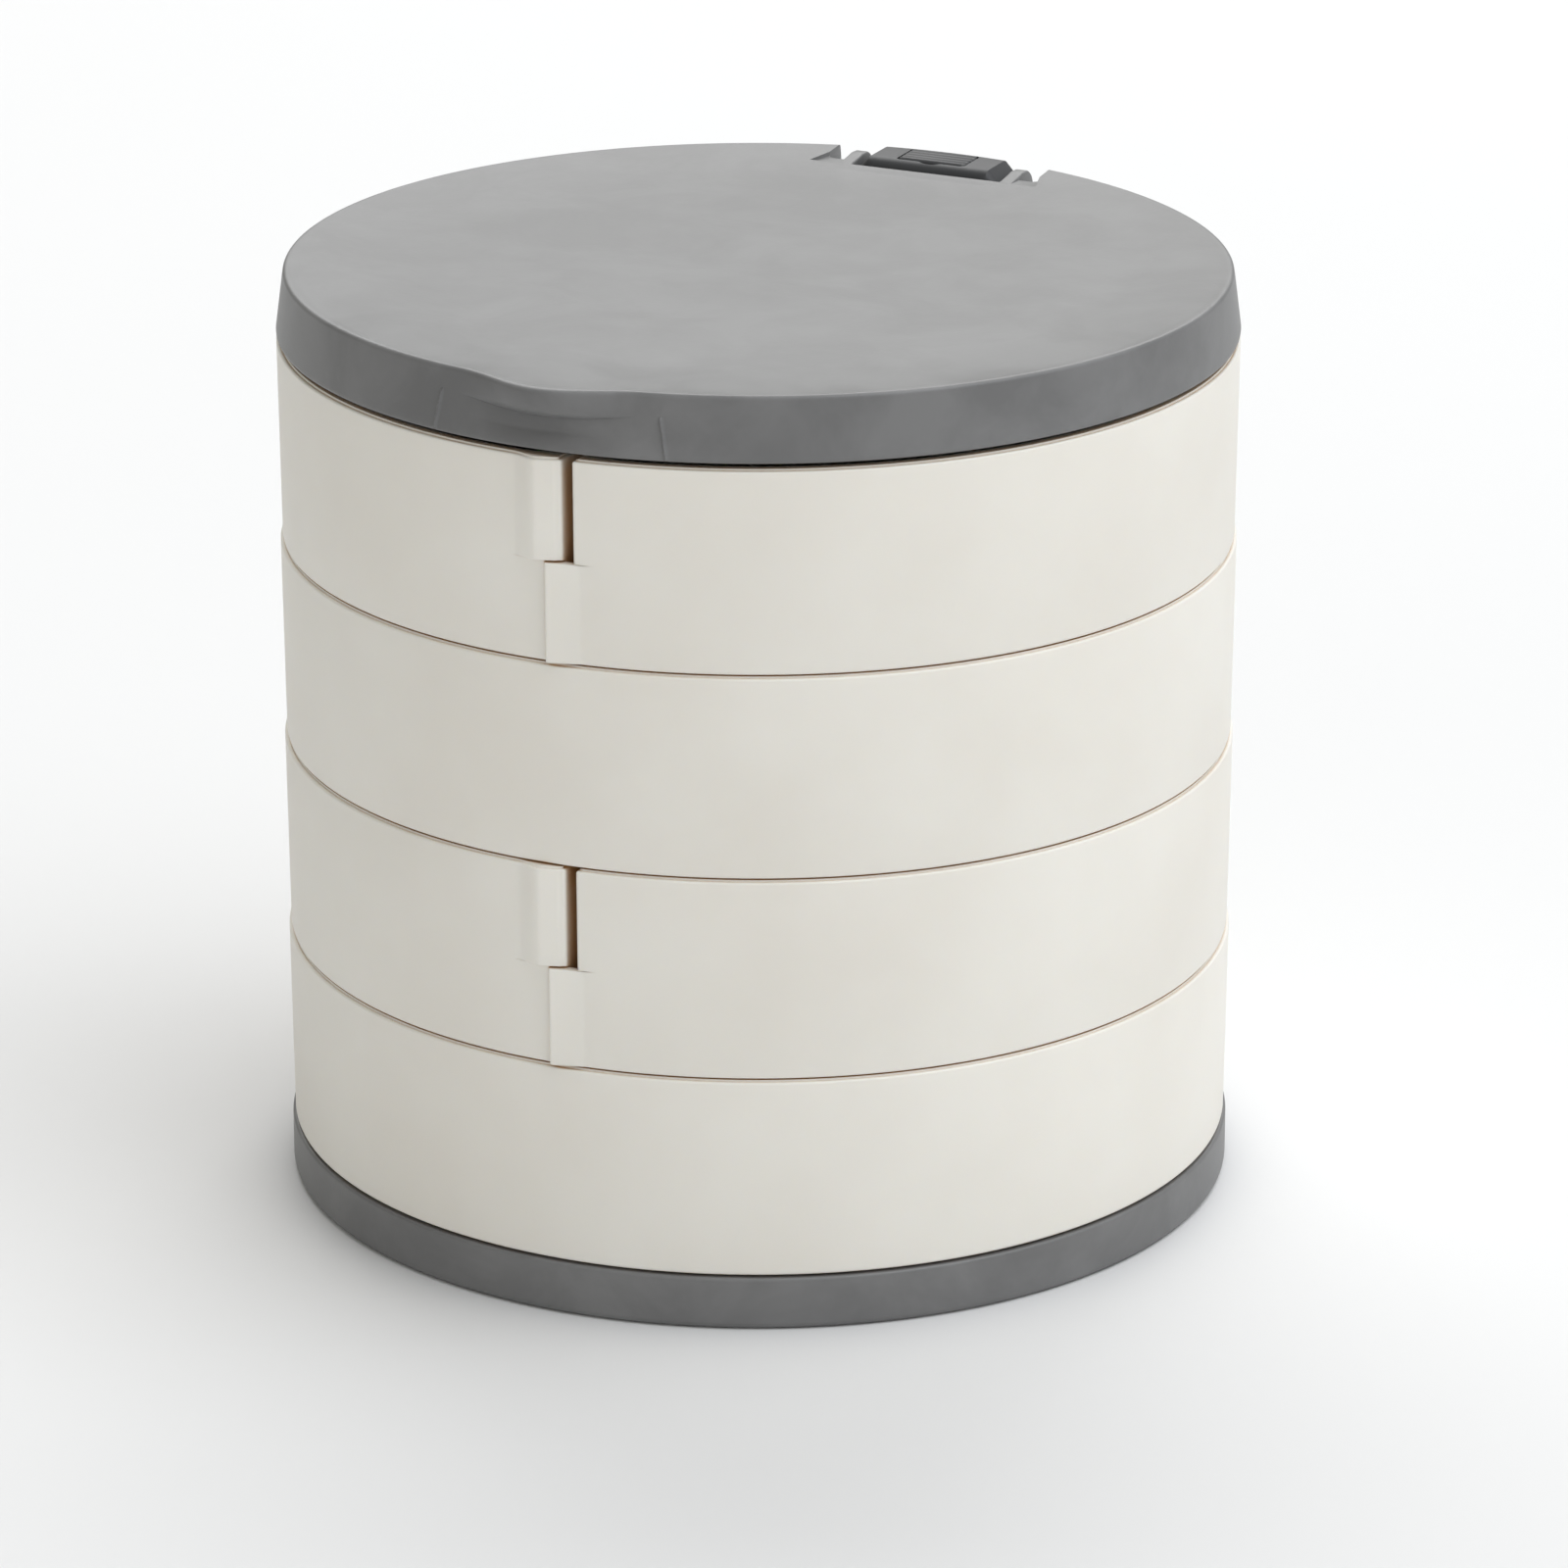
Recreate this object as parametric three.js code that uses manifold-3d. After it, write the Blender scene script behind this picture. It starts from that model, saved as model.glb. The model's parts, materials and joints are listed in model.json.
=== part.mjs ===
// Round swing-out storage box, in millimetres, +Z up, front at -Y.
// Four tiers of trays turn about one upright steel shaft at the rear, under a hinged lid.
import * as THREE from 'three';
import { mergeVertices } from 'three/addons/utils/BufferGeometryUtils.js';
import Module from 'manifold-3d';

const wasm = await Module();
wasm.setup();

// Driving dimensions
const roundSides = 72;
const smallSides = 20;
const screwSides = 14;
const overshoot = 1;

const tier = {
  firstFloor: 6.15,
  height: 22.0,
  gap: 0.35,
  bottomRadius: 51.9,
  topRadius: 52.15,
  wall: 1.6,
  floor: 1.6,
  edge: 0.5,
  innerFillet: 1.5,
};
const pivot = {
  y: 47.6,
  shaftRadius: 2.0,
  boreRadius: 2.1,
  bossRadius: 4.2,
  clearRadius: 4.55,
  ringRadius: 6.15,
  bossInset: 0.25,
};
const wing = {
  leftFace: 2.05,
  rightFace: 3.25,
  rearFace: 47.4,
  halfGap: 0.15,
  tabProud: 0.8,
  tabRoot: 1.2,
};
const lid = {
  bottom: 96.0,
  top: 103.0,
  deck: 101.9,
  thickness: 1.6,
  bottomRadius: 52.2,
  topRadius: 51.6,
  lipRadius: 50.8,
  dishRadius: 48.2,
  slotHalf: 13.5,
  slotFront: 45.9,
  lugOuter: 10.9,
  lugInner: 9.1,
  blockFront: 43.8,
};
const thumbLip = { half: 10.5, proud: 2.1, root: 1.2, low: 99.7, step: 100.6, high: 102.7 };
const hinge = { y: 48.0, z: 100.1, pinRadius: 1.0, lugRadius: 2.9, heelRadius: 4.4 };
const block = { half: 8.8, bottom: 95.85, top: 102.85, front: 44.2, rear: 51.7, shoulder: 98.3 };
const cap = { half: 4.1, front: 45.5, rear: 50.1, seat: 101.9, top: 103.0 };
const foot = { height: 5.9, radius: 52.2, wall: 1.9, plateBottom: 1.2, plateTop: 3.0, ringInner: 48.6 };
const spigot = { inner: 47.9, outer: 49.9, bottom: 3.3 };
const footScrew = {
  circle: 38,
  count: 3,
  bossRadius: 3.2,
  shank: 1.2,
  head: 2.6,
  headHeight: 0.9,
  grip: 5.7,
  socket: 1.1,
};
const shaftScrew = { shank: 1.25, hole: 1.3, head: 2.4, headHeight: 1.6, grip: 9, socket: 1.1 };
const washer = { outer: 3.8, thickness: 0.8 };

const creamPlastic = { color: '#d8d6cd', roughness: 0.5, metalness: 0 };
const greyPlastic = { color: '#8c8c8c', roughness: 0.6, metalness: 0 };
const darkPlastic = { color: '#5c5d5e', roughness: 0.55, metalness: 0 };
const steel = { color: '#b9bbbe', roughness: 0.3, metalness: 1 };
const washerPlastic = { color: '#e8e6df', roughness: 0.45, metalness: 0 };

const floorOf = (level) => tier.firstFloor + level * (tier.height + tier.gap);
const topOf = (level) => floorOf(level) + tier.height;
const middleOf = (level) => floorOf(level) + tier.height / 2;

// Solids
function solidOf(geometry) {
  const bare = geometry.clone();
  bare.deleteAttribute('normal');
  bare.deleteAttribute('uv');
  const merged = mergeVertices(bare, 1e-4);
  const index = Array.from(merged.index.array);
  const triangles = [];
  for (let i = 0; i < index.length; i += 3) {
    const [a, b, c] = index.slice(i, i + 3);
    if (a !== b && b !== c && c !== a) triangles.push(a, b, c);
  }
  return new wasm.Manifold(new wasm.Mesh({
    numProp: 3,
    vertProperties: new Float32Array(merged.attributes.position.array),
    triVerts: new Uint32Array(triangles),
  }));
}

function geometryOf(solid) {
  const mesh = solid.getMesh();
  const geometry = new THREE.BufferGeometry();
  geometry.setAttribute('position', new THREE.BufferAttribute(new Float32Array(mesh.vertProperties), 3));
  geometry.setIndex(new THREE.BufferAttribute(new Uint32Array(mesh.triVerts), 1));
  geometry.computeVertexNormals();
  return geometry;
}

// A profile of [radius, height] points turned about Z; it runs outward, up and back in.
function turned(profile, sides = roundSides) {
  const points = profile.map(([radius, height]) => new THREE.Vector2(radius, height));
  return solidOf(new THREE.LatheGeometry(points, sides).rotateX(Math.PI / 2));
}

function rod(x, y, radius, low, high, sides = smallSides) {
  const geometry = new THREE.CylinderGeometry(radius, radius, high - low, sides).rotateX(Math.PI / 2);
  return solidOf(geometry.translate(x, y, (low + high) / 2));
}

function crossRod(y, z, radius, left, right, sides = smallSides) {
  const geometry = new THREE.CylinderGeometry(radius, radius, right - left, sides).rotateZ(Math.PI / 2);
  return solidOf(geometry.translate((left + right) / 2, y, z));
}

function slab([x0, x1], [y0, y1], [z0, z1]) {
  const geometry = new THREE.BoxGeometry(x1 - x0, y1 - y0, z1 - z0);
  return solidOf(geometry.translate((x0 + x1) / 2, (y0 + y1) / 2, (z0 + z1) / 2));
}

// An outline in the XY plane, standing from low to high.
function upright(outline, low, high) {
  const shape = new THREE.Shape(outline.map(([x, y]) => new THREE.Vector2(x, y)));
  const geometry = new THREE.ExtrudeGeometry(shape, { depth: high - low, bevelEnabled: false });
  return solidOf(geometry.translate(0, 0, low));
}

// An outline of [y, z] points, reaching sideways from left to right.
function sideways(outline, left, right) {
  const shape = new THREE.Shape(outline.map(([y, z]) => new THREE.Vector2(y, z)));
  const geometry = new THREE.ExtrudeGeometry(shape, { depth: right - left, bevelEnabled: false });
  const axes = new THREE.Matrix4().set(0, 0, 1, left, 1, 0, 0, 0, 0, 1, 0, 0, 0, 0, 0, 1);
  return solidOf(geometry.applyMatrix4(axes));
}

const join = (first, ...others) => others.reduce((whole, piece) => whole.add(piece), first);
const cut = (first, ...others) => others.reduce((whole, piece) => whole.subtract(piece), first);

// Tiers
function tierBlank(level) {
  const low = floorOf(level);
  const high = topOf(level);
  return turned([
    [0, low],
    [tier.bottomRadius - tier.edge, low],
    [tier.bottomRadius, low + tier.edge],
    [tier.topRadius, high],
    [0, high],
  ]);
}

function tierHollow(level) {
  const low = floorOf(level) + tier.floor;
  const high = topOf(level);
  const inner = tier.bottomRadius - tier.wall;
  return turned([
    [0, low],
    [inner - tier.innerFillet, low],
    [inner, low + tier.innerFillet],
    [tier.topRadius - tier.wall, high + overshoot],
    [0, high + overshoot],
  ]);
}

// A full round tray with a bored boss for the shaft inside its rear wall.
function roundTray(level) {
  const low = floorOf(level);
  const high = topOf(level);
  const boss = rod(0, pivot.y, pivot.bossRadius, low, high + 2 * overshoot);
  const hollow = cut(tierHollow(level), boss);
  const bore = rod(0, pivot.y, pivot.boreRadius, low - overshoot, high + overshoot);
  const lowerRelief = rod(0, pivot.y, pivot.clearRadius, low - overshoot, low + pivot.bossInset);
  const upperRelief = rod(0, pivot.y, pivot.clearRadius, high - pivot.bossInset, high + overshoot);
  return cut(tierBlank(level), hollow, bore, lowerRelief, upperRelief);
}

// The front tab stands proud of the wall near its edge and eases back into it.
function tabOutline(edge, plateau, blend, innerY) {
  const steps = 12;
  const base = tier.topRadius;
  const outer = [];
  for (let i = 0; i <= steps; i += 1) {
    const x = edge + ((blend - edge) * i) / steps;
    const fade = Math.min(1, Math.max(0, (x - plateau) / (blend - plateau)));
    const ease = fade * fade * (3 - 2 * fade);
    const radius = base + wing.tabProud - (wing.tabProud + 0.2) * ease;
    outer.push([x, -Math.sqrt(radius * radius - x * x)]);
  }
  const root = base - wing.tabRoot;
  const backOf = (x) => -Math.sqrt(root * root - x * x);
  const inner = innerY ? [[blend, backOf(blend)], [wing.rightFace + 0.4, backOf(wing.rightFace)],
    [wing.rightFace + 0.4, innerY], [edge, innerY]] : [[blend, backOf(blend)], [edge, backOf(edge)]];
  return outer.concat(inner);
}

const leftTab = { edge: wing.leftFace, plateau: -0.6, blend: -7.2 };
const rightTab = { edge: -0.1, plateau: 4.0, blend: 7.0, innerY: -51.3 };
const recess = { left: -0.45, y: -51.0 };

// One half of a split tier. side is -1 for the left wing and +1 for the right one.
function halfWing(level, side) {
  const low = floorOf(level);
  const high = topOf(level);
  const middle = middleOf(level);
  const far = tier.topRadius + 2 * overshoot;
  const face = side < 0 ? wing.leftFace : wing.rightFace;
  const reach = (inset) => (side < 0 ? [-far, face - inset] : [face + inset, far]);
  const half = tierBlank(level).intersect(
    slab(reach(0), [-far, wing.rearFace], [low - overshoot, high + overshoot]),
  );
  const hollow = tierHollow(level)
    .intersect(slab(reach(tier.wall), [-far, wing.rearFace - tier.wall], [low, high + 2 * overshoot]))
    .subtract(rod(0, pivot.y, pivot.ringRadius, low, high + 3 * overshoot));
  const ownHalf = side < 0 ? [middle + wing.halfGap, high] : [low, middle - wing.halfGap];
  const otherHalf = side < 0
    ? [low - overshoot, middle + wing.halfGap]
    : [middle - wing.halfGap, high + overshoot];
  const knuckle = rod(0, pivot.y, pivot.bossRadius, ...ownHalf);
  const passage = rod(0, pivot.y, pivot.clearRadius, ...otherHalf);
  const bore = rod(0, pivot.y, pivot.boreRadius, low - overshoot, high + overshoot);
  const lowerRelief = rod(0, pivot.y, pivot.clearRadius, low - overshoot, low + pivot.bossInset);
  const upperRelief = rod(0, pivot.y, pivot.clearRadius, high - pivot.bossInset, high + overshoot);
  let body = cut(half, hollow, passage);
  if (side < 0) {
    const { edge, plateau, blend } = leftTab;
    const front = [-far, recess.y];
    const lowerRecess = slab([recess.left, face + overshoot], front, [low - overshoot, ownHalf[0]]);
    const mirrored = tabOutline(-edge, -plateau, -blend).map(([x, y]) => [-x, y]);
    body = join(body.subtract(lowerRecess), upright(mirrored, ownHalf[0], high));
  } else {
    const { edge, plateau, blend, innerY } = rightTab;
    body = join(body, upright(tabOutline(edge, plateau, blend, innerY), low, ownHalf[1]));
  }
  return cut(join(body, knuckle), bore, lowerRelief, upperRelief);
}

// Bottom tray: a round tray with a spigot and screw bosses that drop into the foot.
function bottomTray() {
  const low = floorOf(0);
  const ring = turned([
    [spigot.inner, spigot.bottom],
    [spigot.outer, spigot.bottom],
    [spigot.outer, low + overshoot],
    [spigot.inner, low + overshoot],
    [spigot.inner, spigot.bottom],
  ]);
  const pocket = rod(0, pivot.y, pivot.bossRadius - 0.6, spigot.bottom - overshoot, low);
  const bore = rod(0, pivot.y, pivot.boreRadius, spigot.bottom - overshoot, low + 2 * overshoot);
  let tray = join(roundTray(0), cut(ring, pocket, bore));
  for (const [x, y] of footScrewPlaces()) {
    const boss = rod(x, y, footScrew.bossRadius, spigot.bottom, low + overshoot);
    const pilot = rod(x, y, footScrew.shank + 0.05, spigot.bottom - overshoot, low + 1);
    tray = tray.add(boss).subtract(pilot);
  }
  return tray;
}

function footScrewPlaces() {
  const places = [];
  for (let i = 0; i < footScrew.count; i += 1) {
    const angle = -Math.PI / 2 + (i * 2 * Math.PI) / footScrew.count;
    places.push([footScrew.circle * Math.cos(angle), footScrew.circle * Math.sin(angle)]);
  }
  return places;
}

function baseFoot() {
  const chamfer = 0.9;
  const shell = turned([
    [0, foot.plateBottom],
    [foot.ringInner, foot.plateBottom],
    [foot.ringInner, 0],
    [foot.radius - chamfer, 0],
    [foot.radius, chamfer],
    [foot.radius, foot.height],
    [foot.radius - foot.wall, foot.height],
    [foot.radius - foot.wall, foot.plateTop],
    [0, foot.plateTop],
  ]);
  const pocket = rod(0, pivot.y, pivot.bossRadius - 0.8, foot.plateTop, foot.height + overshoot);
  const holes = footScrewPlaces().map(([x, y]) => rod(x, y, footScrew.shank + 0.2, 0, foot.height));
  return cut(shell, pocket, ...holes);
}

// A pan head with a hexagon socket, its shank on the far side of the seat from the head.
function machineScrew(x, y, seat, size, direction) {
  const tip = seat + direction * size.grip;
  const top = seat - direction * size.headHeight;
  const floor = seat - direction * size.headHeight * 0.35;
  const span = (a, b) => [Math.min(a, b), Math.max(a, b)];
  const shank = rod(x, y, size.shank, ...span(seat - direction * 0.2, tip), screwSides);
  const head = rod(x, y, size.head, ...span(seat, top));
  const socket = rod(x, y, size.socket, ...span(floor, top - direction * overshoot), 6);
  return cut(join(head, shank), socket);
}

function pivotShaft(low, high) {
  const depth = shaftScrew.grip + 0.5;
  return cut(
    rod(0, pivot.y, pivot.shaftRadius, low, high),
    rod(0, pivot.y, shaftScrew.hole, low - overshoot, low + depth, screwSides),
    rod(0, pivot.y, shaftScrew.hole, high - depth, high + overshoot, screwSides),
  );
}

function flatWasher(low, outer, inner, thickness) {
  return cut(
    rod(0, pivot.y, outer, low, low + thickness),
    rod(0, pivot.y, inner, low - overshoot, low + thickness + overshoot),
  );
}

// Lid: dished deck, rounded rim lip, flaring skirt, thumb lip and two rear lugs.
function lidShell() {
  const under = lid.deck - lid.thickness;
  return turned([
    [0, under],
    [lid.topRadius - lid.thickness, under],
    [lid.bottomRadius - lid.thickness, lid.bottom],
    [lid.bottomRadius, lid.bottom],
    [lid.topRadius, lid.top - 0.6],
    [lid.topRadius - 0.25, lid.top - 0.15],
    [lid.lipRadius, lid.top],
    [lid.lipRadius - 0.8, lid.top - 0.2],
    [lid.dishRadius + 0.8, lid.deck + 0.15],
    [lid.dishRadius, lid.deck],
    [0, lid.deck],
  ]);
}

// The thumb lip swells out of the rim as a crescent, thinner along its lower edge.
function crescent(proud) {
  const steps = 20;
  const front = [];
  const back = [];
  for (let i = 0; i <= steps; i += 1) {
    const x = thumbLip.half * ((2 * i) / steps - 1);
    const swell = Math.cos((Math.PI * x) / (2 * thumbLip.half)) ** 2;
    front.push([x, -Math.sqrt(lid.topRadius ** 2 - x * x) - proud * swell]);
    back.unshift([x, -Math.sqrt((lid.topRadius - thumbLip.root) ** 2 - x * x)]);
  }
  return front.concat(back);
}

function thumbLipSolid() {
  const upper = upright(crescent(thumbLip.proud), thumbLip.step, thumbLip.high);
  const lower = upright(crescent(thumbLip.proud / 2), thumbLip.low, thumbLip.step + 0.1);
  return upper.add(lower);
}

function lidLug(left, right) {
  const arcSteps = 12;
  const outline = [[lid.slotFront - 3, lid.deck - lid.thickness], [hinge.y, hinge.z - hinge.lugRadius]];
  for (let i = 1; i <= arcSteps; i += 1) {
    const angle = -Math.PI / 2 + (i / arcSteps) * Math.PI * 0.85;
    outline.push([hinge.y + hinge.lugRadius * Math.cos(angle), hinge.z + hinge.lugRadius * Math.sin(angle)]);
  }
  outline.push([hinge.y - 1, lid.top - 0.2], [lid.slotFront - 1.5, lid.deck], [lid.slotFront - 3, lid.deck]);
  return sideways(outline, left, right);
}

function hingedLid() {
  const far = lid.bottomRadius + overshoot;
  const through = [lid.bottom - overshoot, lid.top + overshoot];
  const slots = slab([-lid.slotHalf, lid.slotHalf], [lid.slotFront, far], through);
  const blockSpace = slab([-lid.lugInner, lid.lugInner], [lid.blockFront, far], through);
  const tongueSkirt = slab([-lid.slotHalf, lid.slotHalf], [lid.blockFront, far],
    [lid.bottom - overshoot, lid.deck - lid.thickness]);
  const heel = cut(
    slab([-far, far], [hinge.y, far], [lid.bottom - overshoot, hinge.z]),
    crossRod(hinge.y, hinge.z, hinge.heelRadius, -far, far),
  );
  const chordBead = sideways(
    [[lid.blockFront - 2.4, lid.deck - 0.3], [lid.blockFront, lid.deck - 0.3],
      [lid.blockFront, lid.deck + 0.25], [lid.blockFront - 0.7, lid.deck + 0.35]],
    -lid.slotHalf - 1,
    lid.slotHalf + 1,
  );
  const outside = rod(0, 0, lid.topRadius - 0.1, lid.bottom - overshoot, lid.top + overshoot, roundSides);
  const lugs = join(lidLug(-lid.lugOuter, -lid.lugInner), lidLug(lid.lugInner, lid.lugOuter));
  const shell = cut(lidShell(), slots, blockSpace, tongueSkirt, heel).add(thumbLipSolid());
  const bore = hinge.pinRadius + 0.05;
  const pinHole = crossRod(hinge.y, hinge.z, bore, -lid.slotHalf, lid.slotHalf, screwSides);
  return join(shell, chordBead, lugs.intersect(outside)).subtract(pinHole);
}

function hingeBlock() {
  const outline = [
    [block.front, block.bottom],
    [block.rear, block.bottom],
    [block.rear, hinge.z + 1.2],
    [block.rear - 1.3, block.top],
    [block.front + 1.2, block.top],
    [block.front, hinge.z + 1.1],
  ];
  const body = sideways(outline, -block.half, block.half)
    .intersect(rod(0, 0, lid.topRadius, block.bottom - overshoot, block.top + overshoot, roundSides));
  const pinEnd = 4.4;
  const reach = block.half + overshoot;
  const seat = block.shoulder + 0.9;
  const capFit = 0.1;
  const capPocket = slab(
    [-cap.half - capFit, cap.half + capFit],
    [cap.front - capFit, cap.rear + capFit],
    [cap.seat, cap.top + overshoot],
  );
  return cut(
    body,
    rod(0, pivot.y, pivot.shaftRadius + 0.05, block.bottom - overshoot, block.shoulder),
    rod(0, pivot.y, shaftScrew.shank + 0.1, block.bottom, seat + overshoot, screwSides),
    rod(0, pivot.y, shaftScrew.head + 0.2, seat, block.top + overshoot),
    capPocket,
    crossRod(hinge.y, hinge.z, hinge.pinRadius + 0.1, -reach, -pinEnd, screwSides),
    crossRod(hinge.y, hinge.z, hinge.pinRadius + 0.1, pinEnd, reach, screwSides),
  );
}

function blockCap() {
  const plate = slab([-cap.half, cap.half], [cap.front, cap.rear], [cap.seat + 0.05, cap.top]);
  return plate.add(rod(0, pivot.y, shaftScrew.head, cap.seat - 0.7, cap.seat + 0.5));
}

// Assembly
const box = new THREE.Group();

function addPart(name, solid, look) {
  const mesh = new THREE.Mesh(geometryOf(solid), new THREE.MeshStandardMaterial(look));
  mesh.name = name;
  box.add(mesh);
}

addPart('base_foot', baseFoot(), greyPlastic);
footScrewPlaces().forEach(([x, y], i) => {
  addPart(`base_screw_${i + 1}`, machineScrew(x, y, foot.plateBottom - 0.02, footScrew, 1), steel);
});
addPart('bottom_tray', bottomTray(), creamPlastic);
addPart('lower_wing_left', halfWing(1, -1), creamPlastic);
addPart('lower_wing_right', halfWing(1, 1), creamPlastic);
addPart('middle_tray', roundTray(2), creamPlastic);
addPart('upper_wing_left', halfWing(3, -1), creamPlastic);
addPart('upper_wing_right', halfWing(3, 1), creamPlastic);

const shaftLow = floorOf(0) + 0.15;
const lowerWasherTop = floorOf(0) - 0.05;
addPart('pivot_shaft', pivotShaft(shaftLow, block.shoulder - 0.1), steel);
addPart('shaft_washer_lower', flatWasher(lowerWasherTop - 0.7, 3.0, shaftScrew.shank + 0.1, 0.7), steel);
addPart('shaft_screw_lower', machineScrew(0, pivot.y, lowerWasherTop - 0.72, shaftScrew, 1), steel);
addPart('shaft_screw_upper', machineScrew(0, pivot.y, block.shoulder + 0.92, shaftScrew, -1), steel);
for (let level = 0; level < 4; level += 1) {
  const centre = topOf(level) + tier.gap / 2;
  const spacer = flatWasher(centre - washer.thickness / 2, washer.outer, pivot.boreRadius, washer.thickness);
  addPart(`spacer_washer_${level + 1}`, spacer, washerPlastic);
}

addPart('hinge_block', hingeBlock(), darkPlastic);
addPart('hinge_block_cap', blockCap(), darkPlastic);
addPart('lid', hingedLid(), greyPlastic);
const pin = { inner: 4.6, outer: lid.lugOuter - 0.2 };
const hingePin = (left, right) => crossRod(hinge.y, hinge.z, hinge.pinRadius, left, right, screwSides);
addPart('lid_pin_left', hingePin(-pin.outer, -pin.inner), steel);
addPart('lid_pin_right', hingePin(pin.inner, pin.outer), steel);

export default box;
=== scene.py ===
import json
import math

import bmesh
import bpy
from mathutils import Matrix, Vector


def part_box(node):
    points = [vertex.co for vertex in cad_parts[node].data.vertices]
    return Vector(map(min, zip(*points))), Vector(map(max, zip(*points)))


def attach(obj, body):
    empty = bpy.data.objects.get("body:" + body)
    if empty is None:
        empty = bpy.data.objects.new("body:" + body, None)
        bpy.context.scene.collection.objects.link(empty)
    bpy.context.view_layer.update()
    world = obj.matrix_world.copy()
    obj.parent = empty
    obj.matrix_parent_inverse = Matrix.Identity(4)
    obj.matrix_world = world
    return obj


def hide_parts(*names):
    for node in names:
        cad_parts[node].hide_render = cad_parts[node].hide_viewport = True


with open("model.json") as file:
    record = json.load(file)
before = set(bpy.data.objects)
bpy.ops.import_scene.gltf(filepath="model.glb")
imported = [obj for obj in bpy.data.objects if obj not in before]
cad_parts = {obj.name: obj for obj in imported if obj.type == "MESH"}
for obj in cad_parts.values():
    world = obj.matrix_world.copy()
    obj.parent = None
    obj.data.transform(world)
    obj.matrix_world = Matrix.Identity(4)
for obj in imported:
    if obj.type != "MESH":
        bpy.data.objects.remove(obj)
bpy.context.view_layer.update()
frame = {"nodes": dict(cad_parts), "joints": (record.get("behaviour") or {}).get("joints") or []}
mm = 0.001
print("frame loaded:", len(frame["nodes"]), "nodes")


# millimetre heights and joint places, read from the frame
def heightsOf(node):
    low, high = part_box(node)
    return low.z / mm, high.z / mm


def jointPlace(name):
    found = next(j for j in frame["joints"] if j["name"] == name)
    return [value / mm for value in found["pos_m"]]


pivotY = jointPlace("middle_tray_turn")[1]
hingeY, hingeZ = jointPlace("lid_hinge")[1:]

cameraView = {
    "azimuth": 25.2,      # degrees from the front towards the right
    "distance": 802.4,    # mm, level, to the upright axis of the box
    "height": 328.1,      # mm above the table
    "aimSide": 2.75,      # mm to the right of the axis
    "aimHeight": 42.95,
    "lens": 176.8,
}


def placeCamera(view):
    turn = math.radians(view["azimuth"])
    side = Vector((math.cos(turn), math.sin(turn), 0))
    away = Vector((-math.sin(turn), math.cos(turn), 0))
    eye = -away * view["distance"] * mm + Vector((0, 0, view["height"] * mm))
    aim = side * view["aimSide"] * mm + Vector((0, 0, view["aimHeight"] * mm))
    camera = bpy.data.objects.new("camera", bpy.data.cameras.new("camera"))
    bpy.context.scene.collection.objects.link(camera)
    camera.data.lens = view["lens"]
    camera.data.clip_start = 0.05
    camera.location = eye
    camera.rotation_euler = (aim - eye).to_track_quat("-Z", "Y").to_euler()
    bpy.context.scene.camera = camera


placeCamera(cameraView)
bpy.context.scene.view_settings.view_transform = "Standard"
print("camera placed")


# colours are sRGB hex, turned to linear here
def linear(hexColour):
    channels = [int(hexColour[i:i + 2], 16) / 255 for i in (1, 3, 5)]
    return [c / 12.92 if c <= 0.04045 else ((c + 0.055) / 1.055) ** 2.4 for c in channels] + [1.0]


def addNode(tree, kind, settings=None, inputs=None):
    node = tree.nodes.new(kind)
    for name, value in (settings or {}).items():
        setattr(node, name, value)
    for socket, value in (inputs or {}).items():
        if isinstance(value, bpy.types.NodeSocket):
            tree.links.new(value, node.inputs[socket])
        else:
            node.inputs[socket].default_value = value
    return node


def newMaterial(name):
    material = bpy.data.materials.new(name)
    material.use_nodes = True
    tree = material.node_tree
    tree.nodes.clear()
    place = addNode(tree, "ShaderNodeTexCoord").outputs["Object"]
    return material, tree, place


creamLook = {
    "light": "#ECE9E1",
    "dark": "#E7E3DA",
    "paintedShade": "#C2945A",      # painted shade: warm tan painted into seams and gaps where shade falls, in place of light bounced many times there
    "paintedShadeReach": 3.2,       # mm that the painted seam shade reaches
    "cloud": 26.0,          # mm, drift of the masterbatch colour
    "grain": 0.35,          # mm, spark-eroded tool texture, drawn a little coarse to show
    "grainDepth": 0.006,
    "sink": 17.0,           # mm, slow waves where the wall shrank as it cooled
    "sinkDepth": 0.05,
}
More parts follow.
